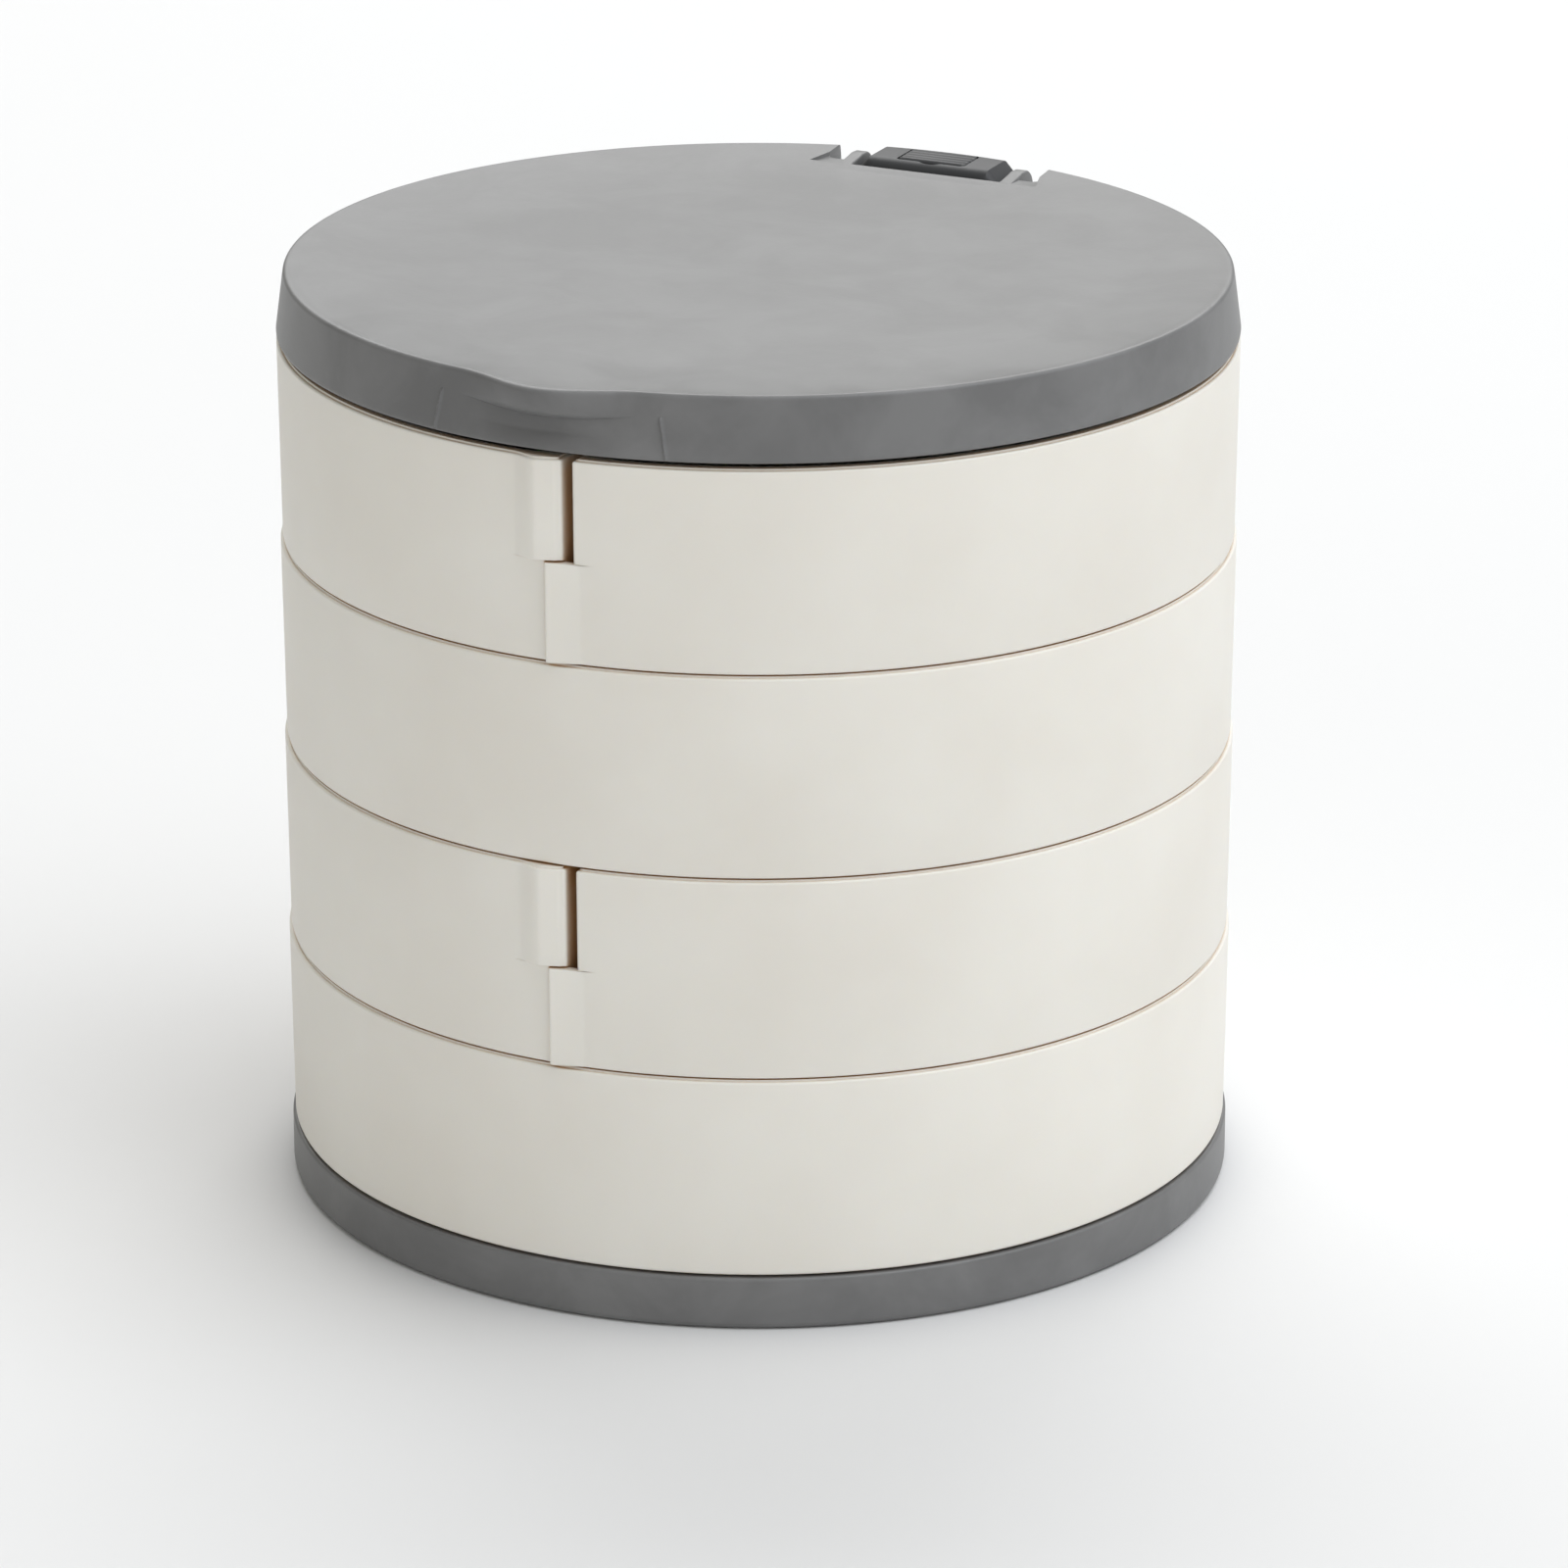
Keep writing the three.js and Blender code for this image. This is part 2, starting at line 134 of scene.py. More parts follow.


# injection-moulded polypropylene, cream: satin skin, a little light carried inside the wall, and painted
# shade in its seams and corners
def creamPolypropylene(look):
    material, tree, place = newMaterial("mouldedPolypropyleneCream")
    cloud = addNode(tree, "ShaderNodeTexNoise", inputs={
        "Vector": place, "Scale": 1 / (look["cloud"] * mm), "Detail": 3.0, "Roughness": 0.5})
    body = addNode(tree, "ShaderNodeValToRGB", inputs={"Fac": cloud.outputs["Fac"]})
    body.color_ramp.elements[0].position = 0.35
    body.color_ramp.elements[0].color = linear(look["dark"])
    body.color_ramp.elements[1].position = 0.65
    body.color_ramp.elements[1].color = linear(look["light"])
    # painted shade: ambient occlusion turns the colour to a warm tan in seams, gaps and corners, where shade
    # falls
    seamOcclusion = addNode(tree, "ShaderNodeAmbientOcclusion", {"samples": 6}, {
        "Distance": look["paintedShadeReach"] * mm})
    paintedShadeMask = addNode(tree, "ShaderNodeMapRange", {"interpolation_type": "SMOOTHSTEP"}, {
        "Value": seamOcclusion.outputs["AO"], "From Min": 0.12, "From Max": 0.55, "To Min": 1.0, "To Max": 0.0})
    colour = addNode(tree, "ShaderNodeMix", {"data_type": "RGBA"}, {
        "Factor": paintedShadeMask.outputs["Result"], "A": body.outputs["Color"], "B": linear(look["paintedShade"])})
    grain = addNode(tree, "ShaderNodeTexNoise", inputs={
        "Vector": place, "Scale": 1 / (look["grain"] * mm), "Detail": 2.0})
    sink = addNode(tree, "ShaderNodeTexNoise", inputs={
        "Vector": place, "Scale": 1 / (look["sink"] * mm), "Detail": 1.0})
    waves = addNode(tree, "ShaderNodeBump", inputs={
        "Height": sink.outputs["Fac"], "Strength": 1.0, "Distance": look["sinkDepth"] * mm})
    skin = addNode(tree, "ShaderNodeBump", inputs={
        "Height": grain.outputs["Fac"], "Strength": 1.0, "Distance": look["grainDepth"] * mm,
        "Normal": waves.outputs["Normal"]})
    sheen = addNode(tree, "ShaderNodeMapRange", inputs={
        "Value": cloud.outputs["Fac"], "To Min": 0.44, "To Max": 0.56})
    shader = addNode(tree, "ShaderNodeBsdfPrincipled", inputs={
        "Base Color": colour.outputs["Result"], "Roughness": sheen.outputs["Result"], "IOR": 1.49,
        "Subsurface Weight": 0.12, "Subsurface Scale": 1.6 * mm, "Subsurface Radius": (1.0, 0.75, 0.45),
        "Normal": skin.outputs["Normal"]})
    addNode(tree, "ShaderNodeOutputMaterial", inputs={"Surface": shader.outputs["BSDF"]})
    return material


greyLook = {
    "light": "#757575",
    "dark": "#696969",
    "cloud": 13.0,          # mm, faint cloudy flow marks on the deck
    "grain": 0.4,           # mm, tool texture, drawn a little coarse to show
    "grainDepth": 0.010,
    "sink": 15.0,           # mm, slow waves where the deck shrank as it cooled
    "sinkDepth": 0.07,
}


# injection-moulded polypropylene, mid grey: matt fine-grained tool texture, cloudy flow marks
def greyPolypropylene(look):
    material, tree, place = newMaterial("mouldedPolypropyleneGrey")
    cloud = addNode(tree, "ShaderNodeTexNoise", inputs={
        "Vector": place, "Scale": 1 / (look["cloud"] * mm), "Detail": 4.0, "Roughness": 0.6,
        "Distortion": 0.4})
    body = addNode(tree, "ShaderNodeValToRGB", inputs={"Fac": cloud.outputs["Fac"]})
    body.color_ramp.elements[0].position = 0.38
    body.color_ramp.elements[0].color = linear(look["dark"])
    body.color_ramp.elements[1].position = 0.62
    body.color_ramp.elements[1].color = linear(look["light"])
    grain = addNode(tree, "ShaderNodeTexNoise", inputs={
        "Vector": place, "Scale": 1 / (look["grain"] * mm), "Detail": 2.0})
    sink = addNode(tree, "ShaderNodeTexNoise", inputs={
        "Vector": place, "Scale": 1 / (look["sink"] * mm), "Detail": 2.0})
    waves = addNode(tree, "ShaderNodeBump", inputs={
        "Height": sink.outputs["Fac"], "Strength": 1.0, "Distance": look["sinkDepth"] * mm})
    skin = addNode(tree, "ShaderNodeBump", inputs={
        "Height": grain.outputs["Fac"], "Strength": 1.0, "Distance": look["grainDepth"] * mm,
        "Normal": waves.outputs["Normal"]})
    sheen = addNode(tree, "ShaderNodeMapRange", inputs={
        "Value": cloud.outputs["Fac"], "To Min": 0.36, "To Max": 0.5})
    shader = addNode(tree, "ShaderNodeBsdfPrincipled", inputs={
        "Base Color": body.outputs["Color"], "Roughness": sheen.outputs["Result"], "IOR": 1.49,
        "Normal": skin.outputs["Normal"]})
    addNode(tree, "ShaderNodeOutputMaterial", inputs={"Surface": shader.outputs["BSDF"]})
    return material


darkLook = {
    "light": "#37383A",
    "dark": "#303133",
    "grain": 0.3,           # mm
    "grainDepth": 0.008,
}


# injection-moulded acetal, dark grey: dense and even, with a dull satin skin
def darkAcetal(look):
    material, tree, place = newMaterial("mouldedAcetalDark")
    grain = addNode(tree, "ShaderNodeTexNoise", inputs={
        "Vector": place, "Scale": 1 / (look["grain"] * mm), "Detail": 3.0})
    body = addNode(tree, "ShaderNodeMix", {"data_type": "RGBA"}, {
        "Factor": grain.outputs["Fac"], "A": linear(look["dark"]), "B": linear(look["light"])})
    skin = addNode(tree, "ShaderNodeBump", inputs={
        "Height": grain.outputs["Fac"], "Strength": 1.0, "Distance": look["grainDepth"] * mm})
    shader = addNode(tree, "ShaderNodeBsdfPrincipled", inputs={
        "Base Color": body.outputs["Result"], "Roughness": 0.5, "IOR": 1.48,
        "Normal": skin.outputs["Normal"]})
    addNode(tree, "ShaderNodeOutputMaterial", inputs={"Surface": shader.outputs["BSDF"]})
    return material


washerLook = {
    "light": "#EFEDE6",
    "dark": "#E2DFD5",
    "ring": 0.25,           # mm, feed of the turning tool
    "ringDepth": 0.004,
}


# turned natural acetal: waxy white, its tool marks too fine to read as more than a faint grain
def turnedAcetal(look):
    material, tree, place = newMaterial("turnedAcetalNatural")
    rings = addNode(tree, "ShaderNodeTexNoise", inputs={
        "Vector": place, "Scale": 1 / (look["ring"] * mm), "Detail": 1.0})
    body = addNode(tree, "ShaderNodeMix", {"data_type": "RGBA"}, {
        "Factor": rings.outputs["Fac"], "A": linear(look["dark"]), "B": linear(look["light"])})
    skin = addNode(tree, "ShaderNodeBump", inputs={
        "Height": rings.outputs["Fac"], "Strength": 1.0, "Distance": look["ringDepth"] * mm})
    shader = addNode(tree, "ShaderNodeBsdfPrincipled", inputs={
        "Base Color": body.outputs["Result"], "Roughness": 0.4, "IOR": 1.48,
        "Subsurface Weight": 0.15, "Subsurface Scale": 1.0 * mm, "Normal": skin.outputs["Normal"]})
    addNode(tree, "ShaderNodeOutputMaterial", inputs={"Surface": shader.outputs["BSDF"]})
    return material


steelLook = {
    "bright": "#CFD0D2",
    "dull": "#B4B6B9",
    "line": 0.12,           # mm, width of a drawing line
    "stretch": 14.0,        # how much longer than wide a line is
    "lineDepth": 0.003,
}


# drawn stainless steel: fine lines along the length, soft broken highlights
def drawnSteel(look):
    material, tree, place = newMaterial("drawnStainlessSteel")
    along = addNode(tree, "ShaderNodeMapping", inputs={
        "Vector": place, "Scale": (1.0, 1.0, 1 / look["stretch"])})
    lines = addNode(tree, "ShaderNodeTexNoise", inputs={
        "Vector": along.outputs["Vector"], "Scale": 1 / (look["line"] * mm), "Detail": 2.0})
    body = addNode(tree, "ShaderNodeMix", {"data_type": "RGBA"}, {
        "Factor": lines.outputs["Fac"], "A": linear(look["dull"]), "B": linear(look["bright"])})
    skin = addNode(tree, "ShaderNodeBump", inputs={
        "Height": lines.outputs["Fac"], "Strength": 1.0, "Distance": look["lineDepth"] * mm})
    sheen = addNode(tree, "ShaderNodeMapRange", inputs={
        "Value": lines.outputs["Fac"], "To Min": 0.24, "To Max": 0.38})
    shader = addNode(tree, "ShaderNodeBsdfPrincipled", inputs={
        "Base Color": body.outputs["Result"], "Metallic": 1.0, "Roughness": sheen.outputs["Result"],
        "Normal": skin.outputs["Normal"]})
    addNode(tree, "ShaderNodeOutputMaterial", inputs={"Surface": shader.outputs["BSDF"]})
    return material


cream = creamPolypropylene(creamLook)
grey = greyPolypropylene(greyLook)
dark = darkAcetal(darkLook)
natural = turnedAcetal(washerLook)
steel = drawnSteel(steelLook)
print("materials made")


# meshes: every outline is in millimetres, and becomes metres when the mesh is made
def meshObject(name, points, faces):
    mesh = bpy.data.meshes.new(name)
    mesh.from_pydata([[value * mm for value in point] for point in points], [], faces)
    piece = bpy.data.objects.new(name, mesh)
    bpy.context.scene.collection.objects.link(piece)
    return piece


weldDistance = 0.0005       # mm


def cleanMesh(piece):
    work = bmesh.new()
    work.from_mesh(piece.data)
    bmesh.ops.remove_doubles(work, verts=work.verts, dist=weldDistance * mm)
    bmesh.ops.dissolve_degenerate(work, edges=work.edges, dist=weldDistance * mm)
    bmesh.ops.recalc_face_normals(work, faces=work.faces)
    work.to_mesh(piece.data)
    work.free()


# closed rings of equal length, joined one after the next, with both ends capped unless they loop
def loftedPiece(name, rings, loop=False):
    count = len(rings[0])
    points = [point for ring in rings for point in ring]
    faces = []
    last = len(rings) if loop else len(rings) - 1
    for level in range(last):
        here = level * count
        above = ((level + 1) % len(rings)) * count
        for i in range(count):
            j = (i + 1) % count
            faces.append((here + i, here + j, above + j, above + i))
    if not loop:
        faces.append(tuple(reversed(range(count))))
        faces.append(tuple(range((len(rings) - 1) * count, len(rings) * count)))
    piece = meshObject(name, points, faces)
    cleanMesh(piece)
    return piece


def circlePoints(centre, radius, height, sides):
    turns = [2 * math.pi * i / sides for i in range(sides)]
    return [(centre[0] + radius * math.cos(turn), centre[1] + radius * math.sin(turn), height)
            for turn in turns]


# a profile of (radius, height) pairs turned about an upright axis
def turnedPiece(name, profile, centre=(0, 0), sides=72, loop=False):
    rings = [circlePoints(centre, radius, height, sides) for radius, height in profile]
    return loftedPiece(name, rings, loop)


def applyModifiers(piece):
    bpy.context.view_layer.update()
    depsgraph = bpy.context.evaluated_depsgraph_get()
    mesh = bpy.data.meshes.new_from_object(piece.evaluated_get(depsgraph))
    piece.modifiers.clear()
    piece.data = mesh


def combine(piece, tool, operation="DIFFERENCE"):
    modifier = piece.modifiers.new("combine", "BOOLEAN")
    modifier.solver = "EXACT"
    modifier.operation = operation
    modifier.object = tool
    applyModifiers(piece)
    bpy.data.objects.remove(tool)


# rounds the sharp edges whose middle passes the test, given in millimetres
def roundEdges(piece, width, segments, test=None, angle=35):
    work = bmesh.new()
    work.from_mesh(piece.data)
    sharp = []
    for edge in work.edges:
        if len(edge.link_faces) == 2 and edge.calc_face_angle(0) > math.radians(angle):
            middle = (edge.verts[0].co + edge.verts[1].co) / 2 / mm
            if test is None or test(middle):
                sharp.append(edge)
    bmesh.ops.bevel(work, geom=sharp, offset=width * mm, offset_type="OFFSET", segments=segments,
                    profile=0.5, affect="EDGES", clamp_overlap=True)
    work.to_mesh(piece.data)
    work.free()


def finishPiece(piece, body, nodes, material, angle=32):
    for face in piece.data.polygons:
        face.use_smooth = True
    piece.data.set_sharp_from_angle(angle=math.radians(angle))
    piece.data.materials.clear()
    piece.data.materials.append(material)
    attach(piece, body)
    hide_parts(*nodes)


# a rounded corner: pairs of (how far in, how far along), from the flat to the wall
def quarterRound(radius, steps):
    turns = [math.pi / 2 * i / steps for i in range(steps + 1)]
    return [(radius * (1 - math.sin(t)), radius * (1 - math.cos(t))) for t in turns]


trayShape = {
    "bottomRadius": 51.9,
    "topRadius": 52.15,
    "wall": 1.6,
    "floor": 1.6,
    "heel": 0.35,         # rounding under the wall
    "rim": 0.25,          # rounding of the upper rim
    "ledge": 0.45,        # a fine ledge runs round the rim, outside its raised inner part
    "ledgeRise": 0.2,
    "innerFillet": 1.5,
    "boss": 4.2,          # round post that the shaft passes through
    "bore": 2.1,
    "relief": 0.25,       # the post's ends stand back for the washers
    "reliefRadius": 4.0,
    "ease": 0.05,         # lean of the ledge's little step
}


def wallRadius(height, low, high):
    bottom = trayShape["bottomRadius"]
    return bottom + (trayShape["topRadius"] - bottom) * (height - low) / (high - low)


# ring of a full tray; given a post radius, it steps in round the shaft's post at the rear, and
# otherwise it spends as many points on a short stretch of its own rear
def trayOutline(radius, height, postRadius=None):
    post = postRadius or trayShape["boss"]
    reach = radius if postRadius else trayShape["topRadius"] - trayShape["wall"]
    lift = math.asin((reach ** 2 - pivotY ** 2 - post ** 2) / (2 * pivotY * post))
    right = math.atan2(pivotY + post * math.sin(lift), post * math.cos(lift))
    arcSteps = 288
    postSteps = 36
    points = []
    for i in range(arcSteps + 1):
        turn = math.pi - right + (math.pi + 2 * right) * i / arcSteps
        points.append((radius * math.cos(turn), radius * math.sin(turn), height))
    for i in range(1, postSteps):
        share = i / postSteps
        if postRadius:
            turn = lift - (math.pi + 2 * lift) * share
            points.append((post * math.cos(turn), pivotY + post * math.sin(turn), height))
        else:
            turn = right + (math.pi - 2 * right) * (0.42 + 0.16 * share)
            points.append((radius * math.cos(turn), radius * math.sin(turn), height))
    return points


# under holds the (radius, height) pairs of what hangs below the tray's floor, if anything does
def roundTray(name, under=(), pocket=None):
    low, high = heightsOf(name)
    shape = trayShape
    if under:
        low = under[0][1]
    floor = low + shape["floor"]
    rings = [trayOutline(radius, height) for radius, height in under]
    for inset, rise in quarterRound(shape["heel"], 5):
        rings.append(trayOutline(wallRadius(low + rise, low, high) - inset, low + rise))
    for inset, drop in reversed(quarterRound(shape["rim"], 4)):
        rings.append(trayOutline(wallRadius(high - drop, low, high) - inset, high - drop))
    rings.append(trayOutline(shape["topRadius"] - shape["ledge"], high))
    top = high + shape["ledgeRise"]
    rings.append(trayOutline(shape["topRadius"] - shape["ledge"] - shape["ease"], top))
    for inset, drop in quarterRound(shape["rim"], 4):
        inner = wallRadius(top - drop, low, high) - shape["wall"]
        rings.append(trayOutline(inner + inset, top - drop, shape["boss"] - inset))
    for inset, rise in reversed(quarterRound(shape["innerFillet"], 6)):
        inner = wallRadius(floor + rise, low, high) - shape["wall"]
        rings.append(trayOutline(inner - inset, floor + rise, shape["boss"] + inset))
    tray = loftedPiece(name, rings)
    drillShaft(tray, low, high, shape["reliefRadius"], pocket)
    return tray


# the shaft's hole, with a shallow recess at both ends and perhaps a wider pocket below
def drillShaft(piece, low, high, reliefRadius, pocket=None):
    bore = trayShape["bore"]
    relief = trayShape["relief"]
    below = [(pocket, low - 4), (pocket, low), (reliefRadius, low)] if pocket else [(reliefRadius, low - 1)]
    profile = below + [(reliefRadius, low + relief), (bore, low + relief), (bore, high - relief),
                       (reliefRadius, high - relief), (reliefRadius, high + 1)]
    combine(piece, turnedPiece("drill", profile, (0, pivotY), 64))


def drillHole(piece, place, radius, low, high, sides=48):
    combine(piece, turnedPiece("drill", [(radius, low), (radius, high)], place, sides))


# the three screws of the foot
footPlaces = []
for i in (1, 2, 3):
    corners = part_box("base_screw_%d" % i)
    footPlaces.append(((corners[0] + corners[1]) / 2 / mm).xy)

trayFloor = {
    "bottom": 6.15,
    "ringInner": 47.9,
    "ringOuter": 49.9,
    "innerLead": 0.3,     # chamfers that lead the ring into the foot
    "outerLead": 0.4,
    "post": 3.2,
    "postLead": 0.25,
    "postRoot": 0.8,      # how far a post reaches into the floor
    "pilot": 1.25,
    "pocket": 3.6,        # room round the shaft's lower washer and screw
}


# bottom tray: a ring and three screw posts under its floor drop into the foot
def bottomTray(shape):
    under = heightsOf("bottom_tray")[0]
    floor = shape["bottom"]
    inner = shape["ringInner"]
    outer = shape["ringOuter"]
    ring = [(inner, floor), (inner, under + shape["innerLead"]), (inner + shape["innerLead"], under),
            (outer - shape["outerLead"], under), (outer, under + shape["outerLead"]), (outer, floor)]
    tray = roundTray("bottom_tray", ring, shape["pocket"])
    for place in footPlaces:
        profile = [(shape["post"] - shape["postLead"], under), (shape["post"], under + shape["postLead"]),
                   (shape["post"], floor + shape["postRoot"])]
        combine(tray, turnedPiece("post", profile, place, 56), "UNION")
        drillHole(tray, place, shape["pilot"], under - 1, floor + 1)
    return tray


finishPiece(bottomTray(trayFloor), "stand", ["bottom_tray"], cream)
finishPiece(roundTray("middle_tray"), "middle_tray", ["middle_tray"], cream)
print("round trays made")

wingShape = {
    "rearFace": 47.4,     # flat rear, which meets the other wing's when both are open
    "passage": 4.55,      # clears the other wing's knuckle
    "ring": 6.15,         # inner wall round the knuckle
    "halfGap": 0.09,      # half of the gap between the two tabs
    "tabProud": 0.8,
    "tabEase": 0.2,       # rounding where a tab ends at mid height
    "tabReach": 8.4,      # the front, from here on, is drawn in finer steps
    "tabInner": -51.3,    # inside face of a tab that overhangs
    "recessX": 0.1,       # recess that the other wing's tab lies over
    "recessY": -51.0,
    "innerCorner": 2.5,
    "outerCorner": 0.6,
}
# both wings are drawn as the left one; the right one is then mirrored
leftWing = {
    "face": 2.05,         # the wall beside the other wing
    "edge": 2.05,         # the end of the tab
    "plateau": -0.6,      # the tab is proud up to here, and blends into the round by the next value
    "blend": -3.6,
    "drop": 0.8,          # how far the tab falls back towards its end
    "straight": False,    # a straight ramp, or one that eases in and out
    "tabCorner": 0.4,
    "otherCorner": 0.2,
}
rightWing = {
    "face": -3.25,
    "edge": -0.3,
    "plateau": -0.5,
    "blend": -4.1,
    "drop": 0.0,
    "straight": True,
    "tabCorner": 0.3,
    "otherCorner": 0.35,
}


def arcPoints(centre, radius, first, last, steps):
    turns = [first + (last - first) * i / steps for i in range(steps + 1)]
    return [(centre[0] + radius * math.cos(t), centre[1] + radius * math.sin(t)) for t in turns]


# kind is "knuckle" where the wing grips the shaft and has its tab, "passage" where it has neither,
# and "hollow" for the inside
def wingOutline(wing, kind, radius, height, inset=0.0, ease=0.0):
    shape = wingShape
    wall = trayShape["wall"] if kind == "hollow" else 0.0
    face = wing["face"] - wall - inset
    rear = shape["rearFace"] - wall - inset
    overhang = wing["edge"] > wing["face"]
    proud = 0.0
    drop = 0.0
    if kind == "knuckle":
        proud = shape["tabProud"] - ease
        drop = wing["drop"]
        corner = wing["tabCorner"]
        cornerX = wing["edge"]
        reach = shape["passage"]
        start = pivotY - math.sqrt(reach ** 2 - wing["face"] ** 2)
        sideSteps = 28
        points = [(face, start + (rear - start) * i / sideSteps) for i in range(sideSteps)]
        points += [(face - (face + reach) * i / sideSteps, rear) for i in range(sideSteps + 1)]
    else:
        grip = (shape["ring"] if wall else shape["passage"]) + inset
        last = -math.pi - math.asin((rear - pivotY) / grip)
        points = arcPoints((0, pivotY), grip, -math.acos(face / grip), last, 56)
        corner = shape["innerCorner"] if wall else wing["otherCorner"]
        cornerX = wing["face"] - wall if wall or overhang else shape["recessX"]

    rearCorner = shape["innerCorner"] if wall else shape["outerCorner"]
    rearY = shape["rearFace"] - wall - rearCorner
    rearX = -math.sqrt((radius - rearCorner) ** 2 - rearY ** 2)
    rearTurn = math.atan2(rearY, rearX)
    points += arcPoints((rearX, rearY), rearCorner - inset, math.pi / 2, rearTurn, 8)

    front = 1.5 * math.pi
    tabStart = front - math.asin(shape["tabReach"] / radius)
    points += arcPoints((0, 0), radius - inset, rearTurn, tabStart, 120)[1:-1]
    centreRadius = radius + proud - drop - corner
    cornerTurn = front + math.asin((cornerX - corner) / centreRadius)
    tabSteps = 36
    for i in range(tabSteps):
        turn = tabStart + (cornerTurn - tabStart) * i / tabSteps
        x = radius * math.cos(turn)
        fade = min(1.0, max(0.0, (x - wing["plateau"]) / (wing["blend"] - wing["plateau"])))
        rise = 1 - fade if wing["straight"] else 1 - fade * fade * (3 - 2 * fade)
        fall = drop * max(0.0, (x - wing["plateau"]) / max(0.5, wing["edge"] - wing["plateau"]))
        reach = radius - inset + proud * rise - fall
        points.append((reach * math.cos(turn), reach * math.sin(turn)))
    centre = (centreRadius * math.cos(cornerTurn), centreRadius * math.sin(cornerTurn))
    points += arcPoints(centre, corner - inset, cornerTurn, 2 * math.pi, 8)

    if kind == "knuckle" and overhang:
        inner = shape["tabInner"] - inset
        points += [(wing["edge"] - inset, inner), (face, inner)]
    elif kind == "passage" and not overhang:
        inner = shape["recessY"] + inset
        points += [(shape["recessX"] - inset, inner), (face, inner)]
    elif kind == "hollow":
        points += [(face, centre[1] + 0.4), (face, centre[1] + 0.8)]
    else:
        points += [(face, shape["tabInner"]), (face, shape["recessY"])]
    return [(x, y, height) for x, y in points]


def halfWing(name, wing, mirrored):
    low, high = heightsOf(name)
    shape = trayShape
    middle = (low + high) / 2
    gap = wingShape["halfGap"]
    ease = wingShape["tabEase"]
    # the right wing's knuckle and tab are its lower half, the left wing's its upper half
    kinds = ["knuckle", "passage"] if mirrored else ["passage", "knuckle"]
    split = middle - gap if mirrored else middle + gap

    def outer(height):
        return wallRadius(height, low, high)

    rings = []
    for inset, rise in quarterRound(shape["heel"], 5):
        rings.append(wingOutline(wing, kinds[0], outer(low + rise), low + rise, inset))
    if mirrored:
        for inset, drop in reversed(quarterRound(ease, 3)):
            rings.append(wingOutline(wing, "knuckle", outer(split), split - drop, 0, inset))
        rings.append(wingOutline(wing, "passage", outer(split), split))
    else:
        rings.append(wingOutline(wing, "passage", outer(split), split))
        for inset, rise in quarterRound(ease, 3):
            rings.append(wingOutline(wing, "knuckle", outer(split), split + rise, 0, inset))
    for inset, drop in reversed(quarterRound(shape["rim"], 4)):
        rings.append(wingOutline(wing, kinds[1], outer(high - drop), high - drop, inset))
    rings.append(wingOutline(wing, kinds[1], outer(high), high, shape["ledge"]))
    top = high + shape["ledgeRise"]
    rings.append(wingOutline(wing, kinds[1], outer(high), top, shape["ledge"] + shape["ease"]))
    for inset, drop in quarterRound(shape["rim"], 4):
        inner = outer(top - drop) - shape["wall"]
        rings.append(wingOutline(wing, "hollow", inner, top - drop, -inset))
    floor = low + shape["floor"]
    for inset, rise in reversed(quarterRound(shape["innerFillet"], 6)):
        inner = outer(floor + rise) - shape["wall"]
        rings.append(wingOutline(wing, "hollow", inner, floor + rise, inset))
    if mirrored:
        rings = [[(-x, y, z) for x, y, z in ring] for ring in rings]
    piece = loftedPiece(name, rings)
    foot, crest = (low, split) if mirrored else (split, high)
    post = shape["boss"]
    knuckle = [(post - ease, foot), (post, foot + ease), (post, crest - ease), (post - ease, crest)]
    combine(piece, turnedPiece("knuckle", knuckle, (0, pivotY)), "UNION")
    drillShaft(piece, low, high, wingShape["passage"])
    return piece


for level in ("lower", "upper"):
    for sideName, wing, mirrored in (("left", leftWing, False), ("right", rightWing, True)):
        name = level + "_wing_" + sideName
        finishPiece(halfWing(name, wing, mirrored), name, [name], cream)
print("swing-out wings made")

footShape = {
    "radius": 52.2,
    "height": 5.9,
    "round": 0.9,         # lower outer edge
    "topRound": 0.35,
    "wall": 1.9,
    "plateBottom": 1.2,
    "plateTop": 3.0,
    "ringInner": 48.6,    # the rim that the box stands on is this far in
    "lead": 0.3,          # small chamfers inside that rim
    "innerLead": 0.2,
    "plateFillet": 0.5,
    "pocket": 3.4,
    "hole": 1.4,
}


def baseFoot(shape):
    inner = shape["radius"] - shape["wall"]
    ring = shape["ringInner"]
    lead = shape["lead"]
    profile = [(ring - 1, shape["plateBottom"]), (ring, shape["plateBottom"] - lead), (ring, lead),
               (ring + lead, 0.0)]
    profile += [(shape["radius"] - inset, rise) for inset, rise in quarterRound(shape["round"], 8)]
    profile += [(shape["radius"] - inset, shape["height"] - drop)
                for inset, drop in reversed(quarterRound(shape["topRound"], 4))]
    profile += [(inner + shape["innerLead"], shape["height"]), (inner, shape["height"] - shape["innerLead"]),
                (inner, shape["plateTop"] + shape["plateFillet"]),
                (inner - shape["plateFillet"], shape["plateTop"])]
    foot = turnedPiece("base_foot", profile, sides=288)
    drillHole(foot, (0, pivotY), shape["pocket"], shape["plateTop"], shape["height"] + 1, 64)
    for place in footPlaces:
        drillHole(foot, place, shape["hole"], -1, shape["height"])
    return foot


finishPiece(baseFoot(footShape), "stand", ["base_foot"], grey)
print("foot made")

shaftShape = {
    "radius": 2.0,
    "chamfer": 0.25,
    "hole": 1.3,          # tapped holes in both ends
    "holeLead": 0.2,
    "depth": 9.5,
}
screwShapes = {
    "base": {"shank": 1.2, "head": 2.6, "headHeight": 0.9, "socket": 1.1, "pitch": 0.8},
    "shaft": {"shank": 1.25, "head": 2.4, "headHeight": 1.6, "socket": 1.1, "pitch": 0.5},
}

# the head's rounding, as shares of its radius and height
headRound = ((0.72, 0.0), (0.88, 0.12), (0.97, 0.4), (1.0, 0.7))
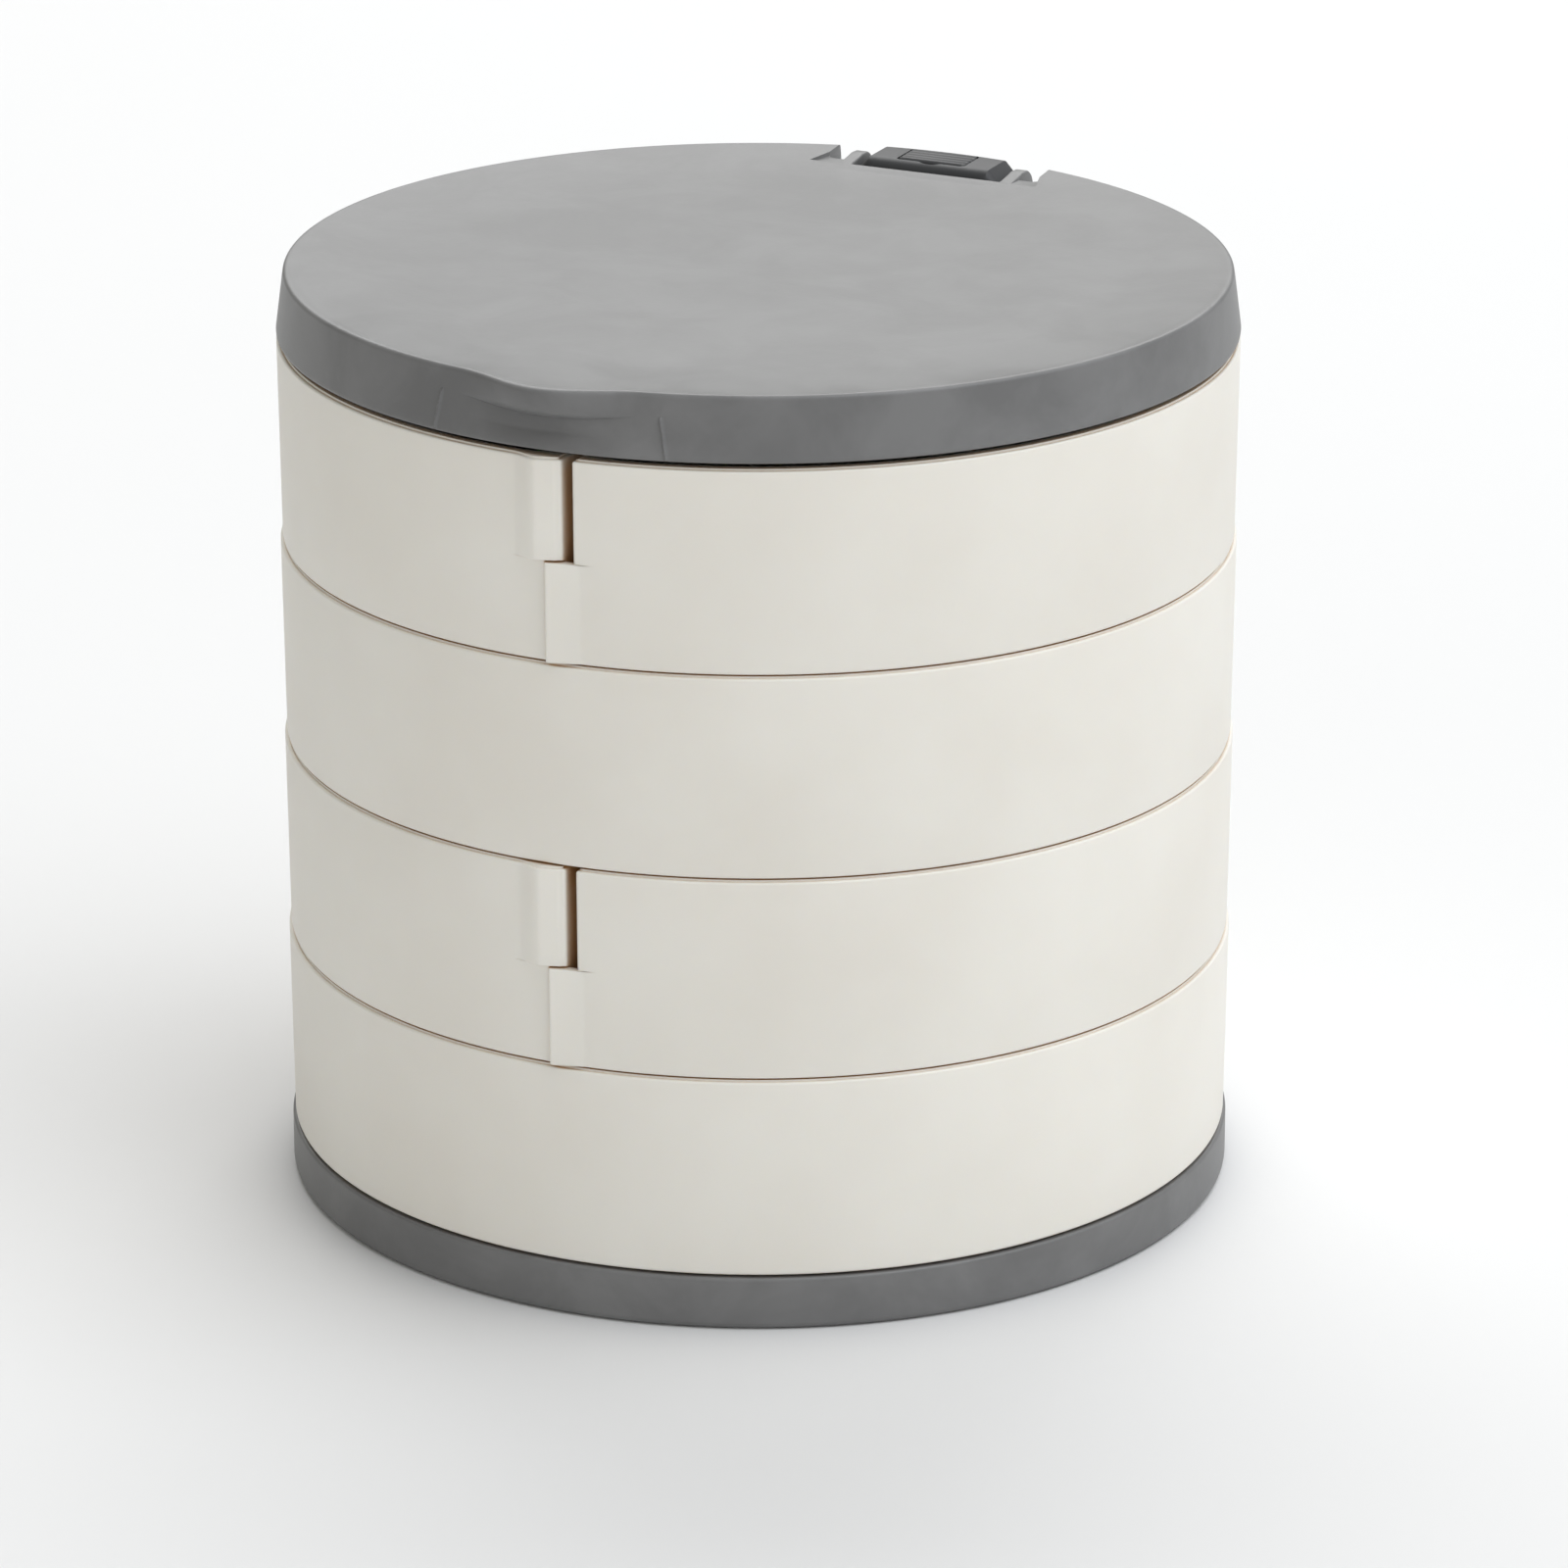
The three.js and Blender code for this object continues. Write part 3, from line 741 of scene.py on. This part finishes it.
# one thread turn, as shares of the pitch and of the groove's depth
threadTurn = ((0.25, 0), (0.5, 1), (0.7, 1), (0.95, 0))
threadDepth = 0.12


# a screw with a rounded head, hexagon socket and thread grooves, standing head down or head up
def machineScrew(name, place, shape, headUp):
    low, high = heightsOf(name)
    length = high - low
    head = shape["headHeight"]
    shank = shape["shank"]
    profile = [(shape["head"] * wide, head * along) for wide, along in headRound]
    profile += [(shape["head"], head - 0.05), (shape["head"] - 0.05, head), (shank, head)]
    plain = head + 0.3
    profile.append((shank, plain))
    turns = int((length - plain - 0.6) / shape["pitch"])
    for i in range(turns):
        start = plain + i * shape["pitch"]
        for along, sunk in threadTurn:
            profile.append((shank - threadDepth * sunk, start + shape["pitch"] * along))
    profile += [(shank, length - 0.4), (shank - 0.35, length)]
    if headUp:
        profile = [(radius, high - height) for radius, height in reversed(profile)]
        socket = (high - head * 0.65, high + 1)
    else:
        profile = [(radius, low + height) for radius, height in profile]
        socket = (low - 1, low + head * 0.65)
    screw = turnedPiece(name, profile, place, 40)
    drillHole(screw, place, shape["socket"], socket[0], socket[1], 6)
    return screw


for i, place in enumerate(footPlaces):
    name = "base_screw_%d" % (i + 1)
    screw = machineScrew(name, place, screwShapes["base"], False)
    finishPiece(screw, "stand", [name], steel)
for name, headUp in (("shaft_screw_lower", False), ("shaft_screw_upper", True)):
    screw = machineScrew(name, (0, pivotY), screwShapes["shaft"], headUp)
    finishPiece(screw, "stand", [name], steel)


def pivotShaft(shape):
    low, high = heightsOf("pivot_shaft")
    edge = shape["radius"] - shape["chamfer"]
    hole = shape["hole"]
    lead = shape["holeLead"]
    profile = [(hole, low + shape["depth"]), (hole, low + lead), (hole + lead, low), (edge, low),
               (shape["radius"], low + shape["chamfer"]), (shape["radius"], high - shape["chamfer"]),
               (edge, high), (hole + lead, high), (hole, high - lead), (hole, high - shape["depth"])]
    return turnedPiece("pivot_shaft", profile, (0, pivotY), 56)


finishPiece(pivotShaft(shaftShape), "stand", ["pivot_shaft"], steel)


def flatWasher(name, inner, edge):
    low, high = heightsOf(name)
    outer = (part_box(name)[1].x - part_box(name)[0].x) / 2 / mm
    profile = [(inner + edge, low), (outer - edge, low), (outer, low + edge), (outer, high - edge),
               (outer - edge, high), (inner + edge, high), (inner, high - edge), (inner, low + edge)]
    return turnedPiece(name, profile, (0, pivotY), 64, True)


finishPiece(flatWasher("shaft_washer_lower", 1.35, 0.1), "stand", ["shaft_washer_lower"], steel)
for i in (1, 2, 3, 4):
    name = "spacer_washer_%d" % i
    finishPiece(flatWasher(name, 2.1, 0.12), "stand", [name], natural)
print("shaft, screws and washers made")

lidShape = {
    "bottom": 96.0,
    "skirtTop": 102.4,    # the skirt's lean is set out up to here
    "shoulder": 102.45,   # where the skirt turns into the crisp rim
    "top": 103.0,
    "deck": 101.9,
    "thickness": 1.6,
    "bottomRadius": 52.2,
    "topRadius": 51.35,
    "lipRadius": 50.85,
    "dishEdge": 50.3,
    "dishRadius": 37.0,   # flat middle of the very shallow dish
    "rearSettle": 0.45,   # the rim is a little lower by the hinge
    "thumbHalf": 10.5,    # half width of the thumb lip
    "thumbProud": 2.3,
    "creaseMiddle": 99.6,  # the lip's lower edge sags in the middle
    "creaseEnds": 100.6,
    "creaseSpread": 11.6,  # degrees
    "recess": 0.4,
    "witness": 14.0,      # degrees, fine raised lines where a tool insert met the skirt
    "witnessLean": 0.75,  # degrees that a line leans over its height
    "witnessTop": 100.4,
    "witnessHeight": 4.2,
    "witnessWidth": 0.17,  # degrees
    "witnessProud": 0.28,
    "carryFrom": 43.0,    # the lip's swell reaches this far in over the deck
}

# degrees from the front, and the step between points up to there: the thumb lip, the fine raised
# lines, a stretch past them, and the rest
turnSteps = ((13.2, 0.3), (15.3, 0.1), (21.0, 0.3), (181.0, 1.5))


def lidTurns():
    turns = []
    turn = -180.0
    while turn < 180.0 - 1e-6:
        turns.append(turn)
        away = abs(turn + 1e-6)
        turn += next(step for reach, step in turnSteps if away < reach)
    return [t for t in turns if t < 179.4]


def skirtRadius(height):
    shape = lidShape
    share = (height - shape["bottom"]) / (shape["skirtTop"] - shape["bottom"])
    return shape["bottomRadius"] + (shape["topRadius"] - shape["bottomRadius"]) * share


def lipSwell(turn):
    x = lidShape["topRadius"] * math.sin(math.radians(turn))
    if abs(turn) > 90 or abs(x) > lidShape["thumbHalf"]:
        return 0.0
    return math.cos(math.pi * x / (2 * lidShape["thumbHalf"])) ** 2


def creaseHeight(turn):
    shape = lidShape
    share = min(1.0, abs(turn) / shape["creaseSpread"])
    return shape["creaseMiddle"] + (shape["creaseEnds"] - shape["creaseMiddle"]) * share ** 2


def skirtPoint(turn, share):
    shape = lidShape
    start = shape["bottom"] + 0.3
    height = start + (creaseHeight(turn) - start) * share
    line = shape["witness"] + shape["witnessLean"] * (shape["witnessTop"] - height) / shape["witnessHeight"]
    fade = min(1.0, max(0.0, (1.0 - share) / 0.06))
    raised = shape["witnessProud"] * fade * math.exp(-((abs(turn) - line) / shape["witnessWidth"]) ** 2)
    sunk = shape["recess"] * lipSwell(turn) * min(1.0, share * 2) ** 2
    return skirtRadius(height) + raised - sunk, height


# the rim sinks gently towards the hinge, and the deck stays level
def settled(turn, height):
    share = max(0.0, (height - lidShape["deck"]) / (lidShape["top"] - lidShape["deck"]))
    return height - lidShape["rearSettle"] * (1 - math.cos(math.radians(turn))) / 2 * share


def lipPoint(turn, share):
    shape = lidShape
    crease = creaseHeight(turn)
    height = crease + (shape["shoulder"] - crease) * share
    swell = lipSwell(turn)
    start = -shape["recess"] * swell
    reach = (shape["thumbProud"] * swell - start) * math.sqrt(1 - (1 - share) ** 2)
    return skirtRadius(height) + start + reach, height


# the lid's plain inside, from the middle of its underside to the foot of the skirt
def lidInside():
    shape = lidShape
    under = shape["deck"] - shape["thickness"]
    innerTop = shape["topRadius"] - shape["thickness"]
    innerBottom = shape["bottomRadius"] - shape["thickness"]
    bottom = shape["bottom"]
    return [(30.0, under), (innerTop - 0.8, under), (innerTop - 0.2, under - 0.25), (innerTop, under - 0.8),
            (innerBottom, bottom + 0.25), (innerBottom + 0.25, bottom),
            (shape["bottomRadius"] - 0.3, bottom), (shape["bottomRadius"] - 0.08, bottom + 0.1)]


# the rim's rounded crown and the shallow dish inside it
def lidCrown(edge):
    shape = lidShape
    crown = []
    for i in range(1, 7):
        along = math.pi / 2 * i / 6
        crown.append((shape["lipRadius"] + (edge - shape["lipRadius"]) * math.cos(along),
                      shape["shoulder"] + (shape["top"] - shape["shoulder"]) * math.sin(along)))
    slope = shape["top"] - 0.1 - shape["deck"]
    crown.append(((shape["lipRadius"] + shape["dishEdge"]) / 2, shape["top"] - 0.02))
    for i in range(21):
        radius = shape["dishEdge"] + (shape["dishRadius"] - shape["dishEdge"]) * i / 20
        crown.append((radius, shape["deck"] + slope * (1 - i / 20) ** 1.7))
    return crown


# rings from the underside round to the dish; the swell of the thumb lip fades towards the deck
def lidRings():
    turns = lidTurns()
    edge = skirtRadius(lidShape["shoulder"])
    start = lidShape["carryFrom"]
    rows = [[point] * len(turns) for point in lidInside()]
    for i in range(19):
        rows.append([skirtPoint(turn, i / 18) for turn in turns])
    for i in range(1, 13):
        share = 1 - math.cos(math.pi / 2 * i / 12)
        rows.append([lipPoint(turn, share) for turn in turns])
    for radius, height in lidCrown(edge):
        carry = min(1.0, max(0.0, (radius - start) / (edge - start))) ** 1.5
        proud = carry * lidShape["thumbProud"]
        rows.append([(radius + proud * lipSwell(turn), height) for turn in turns])
    rings = []
    for row in rows:
        ring = []
        for turn, (radius, height) in zip(turns, row):
            angle = math.radians(turn - 90)
            ring.append((radius * math.cos(angle), radius * math.sin(angle), settled(turn, height)))
        rings.append(ring)
    return rings


# a closed outline of (y, z) points reaching sideways, or of (x, y) points standing up
def prism(name, outline, start, end, upright=False):
    if upright:
        rings = [[(x, y, level) for x, y in outline] for level in (start, end)]
    else:
        rings = [[(level, y, z) for y, z in outline] for level in (start, end)]
    return loftedPiece(name, rings)


def roundedBox(x, y, corner):
    centres = ((x[1] - corner, y[1] - corner, 0), (x[0] + corner, y[1] - corner, 1),
               (x[0] + corner, y[0] + corner, 2), (x[1] - corner, y[0] + corner, 3))
    points = []
    for centreX, centreY, quarterTurn in centres:
        first = math.pi / 2 * quarterTurn
        points += arcPoints((centreX, centreY), corner, first, first + math.pi / 2, 6)
    return points


lidRear = {
    "slotHalf": 13.5,     # half width of the cut in the skirt
    "slotFront": 45.9,    # the open slots beside the lugs start here
    "slotCorner": 0.9,
    "rimHalf": 13.0,      # the rim stops here, and its two ends slant in from the step
    "stepHalf": 13.9,
    "stepFront": 43.3,
    "stepSlant": 3.4,
    "beadHalf": 14.6,     # low bead in front of the hinge block
    "beadFront": 40.9,
    "beadHeight": 0.36,
    "lugOuter": 10.7,
    "lugInner": 9.1,
    "lugRadius": 2.35,
    "blockFront": 43.8,
    "blockCorner": 0.5,
    "skirtCorner": 0.3,
    "heel": 4.4,          # the skirt's end clears the trays as the lid lifts
    "pinHole": 1.05,
    "edge": 0.22,
}

# the bead's section, as shares of its depth and height
beadSection = ((0.3, 0.35), (0.55, 0.72), (0.75, 0.94), (0.87, 1.0), (0.95, 0.88), (1.0, 0.5))


# a low straight bead across the deck in front of the hinge block, with ends that fade out
def chordBead(rear):
    deck = lidShape["deck"]
    back = rear["stepFront"]
    rings = []
    for i in range(41):
        x = -rear["beadHalf"] + 2 * rear["beadHalf"] * i / 40
        rise = rear["beadHeight"] * (1 - (abs(x) / rear["beadHalf"]) ** 8) + 0.02
        ring = [(back, deck - 0.4), (rear["beadFront"], deck - 0.4), (rear["beadFront"], deck)]
        for share, lift in beadSection:
            ring.append((rear["beadFront"] + (back - rear["beadFront"]) * share, deck + rise * lift))
        rings.append([(x, y, z) for y, z in ring])
    return loftedPiece("chord bead", rings)


# an ear of the lid beside the block: round about the pin, then sloping down to the deck
def lidLug(rear, left, right):
    deck = lidShape["deck"]
    under = deck - lidShape["thickness"]
    crest = hingeZ + rear["lugRadius"]
    outline = [(rear["slotFront"] - 3, under), (hingeY, hingeZ - rear["lugRadius"])]
    outline += arcPoints((hingeY, hingeZ), rear["lugRadius"], math.radians(-80), math.radians(72), 18)
    outline += [(hingeY - 0.6, crest - 0.05), (hingeY - 1.8, crest - 0.25),
                (rear["slotFront"] - 1.4, deck + 0.1), (rear["slotFront"] - 3, deck - 0.1)]
    lug = prism("lug", outline, left, right)
    roundEdges(lug, 0.2, 3)
    return lug


def hingedLid(rear):
    shape = lidShape
    lidPiece = loftedPiece("lid", lidRings())
    low = shape["bottom"] - 1
    high = shape["top"] + 1
    far = shape["bottomRadius"] + 3
    half = rear["rimHalf"]
    slantEnd = rear["stepFront"] + rear["stepSlant"]
    step = [(-rear["stepHalf"], rear["stepFront"]), (rear["stepHalf"], rear["stepFront"]),
            (half, slantEnd), (half, far), (-half, far), (-half, slantEnd)]
    combine(lidPiece, prism("step", step, shape["deck"], high, True))
    slots = roundedBox((-half, half), (rear["slotFront"], far), rear["slotCorner"])
    combine(lidPiece, prism("slots", slots, low, high, True))
    room = roundedBox((-rear["lugInner"], rear["lugInner"]), (rear["blockFront"], far), rear["blockCorner"])
    combine(lidPiece, prism("block room", room, low, high, True))
    skirt = roundedBox((-rear["slotHalf"], rear["slotHalf"]), (rear["blockFront"], far),
                       rear["skirtCorner"])
    combine(lidPiece, prism("tongue skirt", skirt, low, shape["deck"] - shape["thickness"], True))
    heel = [(hingeY, low), (hingeY, hingeZ - rear["heel"])]
    heel += arcPoints((hingeY, hingeZ), rear["heel"], -math.pi / 2, 0, 16)[1:]
    heel += [(far, hingeZ), (far, low)]
    combine(lidPiece, prism("heel", heel, -far, far))
    roundEdges(lidPiece, rear["edge"], 3, lambda p: p.y > 43 and abs(p.x) < 22, 50)
    combine(lidPiece, chordBead(rear), "UNION")
    for left, right in ((-rear["lugOuter"], -rear["lugInner"]), (rear["lugInner"], rear["lugOuter"])):
        lug = lidLug(rear, left, right)
        outside = shape["topRadius"] - 0.1
        combine(lug, turnedPiece("outside", [(outside, low), (outside, high)], sides=288), "INTERSECT")
        combine(lidPiece, lug, "UNION")
    hole = prism("pin hole", arcPoints((hingeY, hingeZ), rear["pinHole"], 0, 2 * math.pi, 32)[:-1],
                 -rear["slotHalf"], rear["slotHalf"])
    combine(lidPiece, hole)
    return lidPiece


finishPiece(hingedLid(lidRear), "lid", ["lid"], grey)
print("lid made")

blockShape = {
    "half": 8.8,
    "front": 44.2,
    "frontRound": 1.3,
    "rearRadius": 51.55,
    "rearRound": 1.4,
    "chamfer": 1.5,       # slope at both ends
    "edge": 0.3,
    "shoulder": 98.3,     # top of the hole that takes the shaft
    "seat": 99.2,         # the screw's head sits here
    "pinHole": 1.1,
    "pinEnd": 4.4,
}
capShape = {
    "half": 4.1,
    "front": 45.5,
    "rear": 50.1,
    "seat": 101.9,
    "fit": 0.1,
    "ridges": 5,
    "ridgeDepth": 0.12,
}


# hinge block: its rear follows the lid's round edge, and both ends slope off at the top
def hingeBlock(shape, cap):
    low, high = heightsOf("hinge_block")
    stations = [shape["half"] * i / 12 for i in range(-12, 13)]
    slope = shape["half"] - shape["chamfer"]
    stations = sorted(set(stations + [-slope, slope, -slope - 0.25, slope + 0.25]))
    rings = []
    for x in stations:
        drop = max(0.0, abs(x) - slope)
        top = high - drop
        rear = math.sqrt(shape["rearRadius"] ** 2 - x * x)
        ring = [(shape["front"], low), (shape["front"], low + 1)]
        roll = shape["frontRound"]
        ring += arcPoints((shape["front"] + roll, top - roll), roll, math.pi, math.pi / 2, 6)
        roll = shape["rearRound"]
        ring += arcPoints((rear - roll, top - roll), roll, math.pi / 2, 0, 6)
        ring += [(rear, low + 1), (rear, low)]
        rings.append([(x, y, z) for y, z in ring])
    piece = loftedPiece("hinge_block", rings)
    roundEdges(piece, shape["edge"], 3, lambda p: abs(p.x) > slope - 0.2)
    screw = screwShapes["shaft"]
    drillHole(piece, (0, pivotY), shaftShape["radius"] + 0.05, low - 1, shape["shoulder"])
    drillHole(piece, (0, pivotY), screw["shank"] + 0.1, low, shape["seat"] + 1)
    drillHole(piece, (0, pivotY), screw["head"] + 0.2, shape["seat"], high + 1)
    half = cap["half"] + cap["fit"]
    pocket = roundedBox((-half, half), (cap["front"] - cap["fit"], cap["rear"] + cap["fit"]), 0.5)
    combine(piece, prism("cap pocket", pocket, cap["seat"], high + 1, True))
    for start, end in ((-shape["half"] - 1, -shape["pinEnd"]), (shape["pinEnd"], shape["half"] + 1)):
        outline = arcPoints((hingeY, hingeZ), shape["pinHole"], 0, 2 * math.pi, 32)[:-1]
        combine(piece, prism("pin hole", outline, start, end))
    return piece


# cap over the shaft screw: a snap-in plate with plain grip ridges across it
def blockCap(cap):
    low, high = heightsOf("hinge_block_cap")
    plate = cap["seat"] + 0.06
    rings = []
    ends = ((0.0, 0.35), (0.12, 0.12), (0.35, 0.0))
    stations = [(-cap["half"] + along, inset) for along, inset in ends]
    stations += [(cap["half"] - along, inset) for along, inset in reversed(ends)]
    steps = 60
    for x, inset in stations:
        ring = []
        for i in range(steps + 1):
            share = i / steps
            y = cap["front"] + inset + (cap["rear"] - cap["front"] - 2 * inset) * share
            edge = min(1.0, min(share, 1 - share) * 12)
            wave = 0.5 + 0.5 * math.cos(2 * math.pi * cap["ridges"] * (share - 0.5))
            top = high - inset - cap["ridgeDepth"] * (1 - wave) - 0.35 * (1 - math.sqrt(edge * (2 - edge)))
            ring.append((x, y, top))
        ring += [(x, cap["rear"] - inset, plate), (x, cap["front"] + inset, plate)]
        rings.append(ring)
    piece = loftedPiece("hinge_block_cap", rings)
    plugRadius = screwShapes["shaft"]["head"]
    profile = [(plugRadius - 0.2, low), (plugRadius, low + 0.2), (plugRadius, plate + 0.3)]
    plug = turnedPiece("plug", profile, (0, pivotY), 48)
    combine(piece, plug, "UNION")
    return piece


finishPiece(hingeBlock(blockShape, capShape), "stand", ["hinge_block"], dark)
finishPiece(blockCap(capShape), "stand", ["hinge_block_cap"], dark)

pinShape = {"radius": 1.0, "chamfer": 0.2}


def lidPin(name, shape):
    low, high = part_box(name)
    start = low.x / mm
    end = high.x / mm
    chamfer = shape["chamfer"]
    thin = shape["radius"] - chamfer
    rings = []
    for x, radius in ((start, thin), (start + chamfer, shape["radius"]), (end - chamfer, shape["radius"]),
                      (end, thin)):
        rings.append([(x, y, z) for y, z in arcPoints((hingeY, hingeZ), radius, 0, 2 * math.pi, 40)[:-1]])
    return loftedPiece(name, rings)


for name in ("lid_pin_left", "lid_pin_right"):
    finishPiece(lidPin(name, pinShape), "lid", [name], steel)
print("hinge made")

floorLook = {
    "size": 6.0,            # m
    "light": "#E0E0E0",
    "dark": "#DDDDDD",
    "mottle": 0.35,         # m
}


# painted board floor: plain and pale, only just uneven
def paintedBoard(look):
    material, tree, place = newMaterial("paintedBoardMatt")
    mottle = addNode(tree, "ShaderNodeTexNoise", inputs={"Vector": place, "Scale": 1 / look["mottle"]})
    body = addNode(tree, "ShaderNodeMix", {"data_type": "RGBA"}, {
        "Factor": mottle.outputs["Fac"], "A": linear(look["dark"]), "B": linear(look["light"])})
    shader = addNode(tree, "ShaderNodeBsdfPrincipled", inputs={
        "Base Color": body.outputs["Result"], "Roughness": 0.7, "IOR": 1.5})
    addNode(tree, "ShaderNodeOutputMaterial", inputs={"Surface": shader.outputs["BSDF"]})
    return material


half = floorLook["size"] / 2 / mm
floor = meshObject("floor", [(-half, -half, 0), (half, -half, 0), (half, half, 0), (-half, half, 0)],
                   [(0, 1, 2, 3)])
floor.data.materials.append(paintedBoard(floorLook))

lightsAway = 2.4            # m from the middle of the box
lights = [
    {"name": "key", "azimuth": 92, "lift": 62, "size": 2.0, "power": 34.0, "colour": "#F8FBFF"},
    {"name": "back", "azimuth": 206, "lift": 42, "size": 2.0, "power": 34.0, "colour": "#FFFFFF"},
    {"name": "fill", "azimuth": 5, "lift": 20, "size": 1.8, "power": 5.5, "colour": "#FFFFFF"},
]


# azimuth in degrees from the front towards the right, lift above the table, size in m, power in W
def placeLight(light):
    turn = math.radians(light["azimuth"])
    lift = math.radians(light["lift"])
    lamp = bpy.data.objects.new(light["name"], bpy.data.lights.new(light["name"], "AREA"))
    bpy.context.scene.collection.objects.link(lamp)
    lamp.data.energy = light["power"]
    lamp.data.size = light["size"]
    lamp.data.color = linear(light["colour"])[:3]
    direction = Vector((math.sin(turn) * math.cos(lift), -math.cos(turn) * math.cos(lift), math.sin(lift)))
    lamp.location = direction * lightsAway + Vector((0, 0, 0.05))
    lamp.rotation_euler = (-direction).to_track_quat("-Z", "Y").to_euler()


for light in lights:
    placeLight(light)

studio = {
    "brightSide": 100,      # degrees from the front towards the right
    "shade": "#95938C",
    "bright": "#D8D9DA",
    "strength": 1.0,
}


# white studio walls, darker on the left so the round sides have shape
def studioWalls(look):
    world = bpy.data.worlds.new("studio")
    world.use_nodes = True
    bpy.context.scene.world = world
    tree = world.node_tree
    tree.nodes.clear()
    turn = math.radians(look["brightSide"])
    place = addNode(tree, "ShaderNodeTexCoord").outputs["Generated"]
    across = addNode(tree, "ShaderNodeVectorMath", {"operation": "DOT_PRODUCT"}, {
        0: place, 1: (math.sin(turn), -math.cos(turn), 0.0)})
    share = addNode(tree, "ShaderNodeMapRange", {"interpolation_type": "SMOOTHSTEP"}, {
        "Value": across.outputs["Value"], "From Min": -1.0, "From Max": 1.0})
    walls = addNode(tree, "ShaderNodeMix", {"data_type": "RGBA"}, {
        "Factor": share.outputs["Result"], "A": linear(look["shade"]), "B": linear(look["bright"])})
    background = addNode(tree, "ShaderNodeBackground", inputs={
        "Color": walls.outputs["Result"], "Strength": look["strength"]})
    addNode(tree, "ShaderNodeOutputWorld", inputs={"Surface": background.outputs["Background"]})


studioWalls(studio)
print("stage and lights made")
